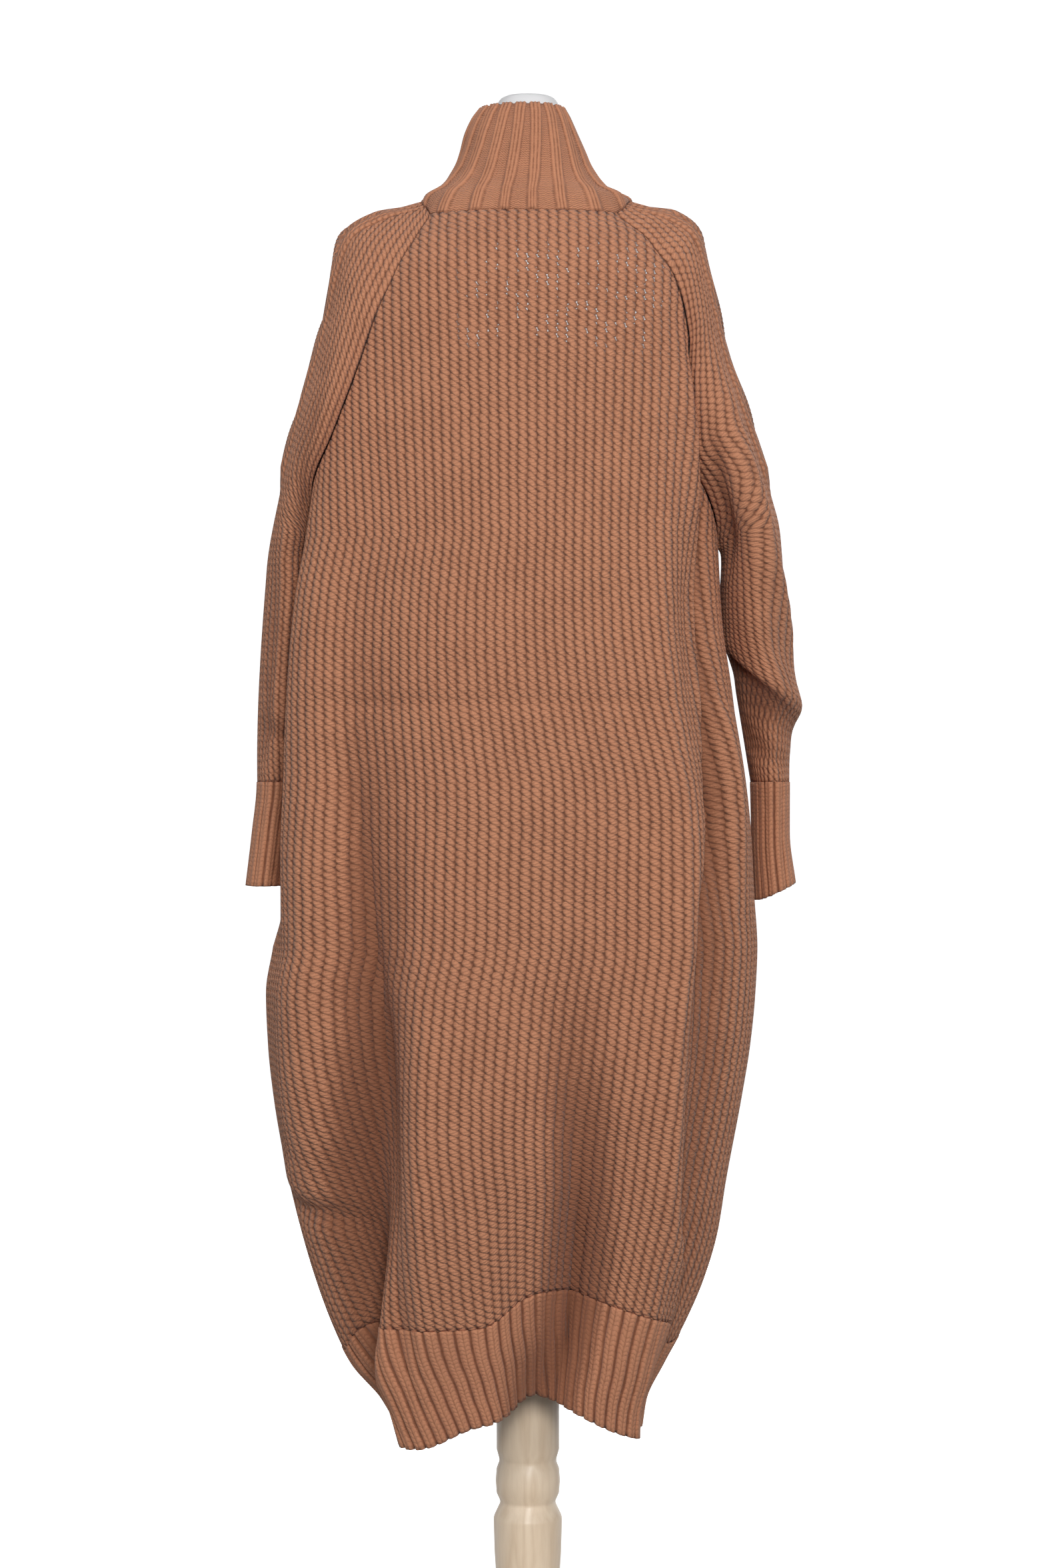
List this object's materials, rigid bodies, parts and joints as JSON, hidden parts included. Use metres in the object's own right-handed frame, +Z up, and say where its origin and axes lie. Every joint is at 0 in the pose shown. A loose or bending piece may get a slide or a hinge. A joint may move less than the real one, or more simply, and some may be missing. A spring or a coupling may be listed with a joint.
{
  "type": "sweater dress on a dress form",
  "caption": "Long oversize sweater dress in heavy rib knit with a funnel neck and raglan sleeves, on a limbless dress form with a round stand.",
  "frame": {"origin": "centre of the stand's foot, on the floor", "axes": "+Z up, -Y towards the dress's back, which is the side the picture shows, +X towards the wearer's right"},
  "size_m": [0.5547, 0.39, 1.633],
  "materials": {
    "knit": "matt camel-brown wool knit",
    "form": "smooth matt white",
    "wood": "pale turned wood, satin"
  },
  "bodies": {
    "root": {"back_panel": "knit", "front_panel": "knit", "sleeve_left": "knit", "sleeve_right": "knit", "cuff_left": "knit", "cuff_right": "knit", "hem_back": "knit", "hem_front": "knit", "collar": "knit", "form_torso": "form", "stand_post": "wood", "stand_base": "wood"}
  },
  "joints": []
}
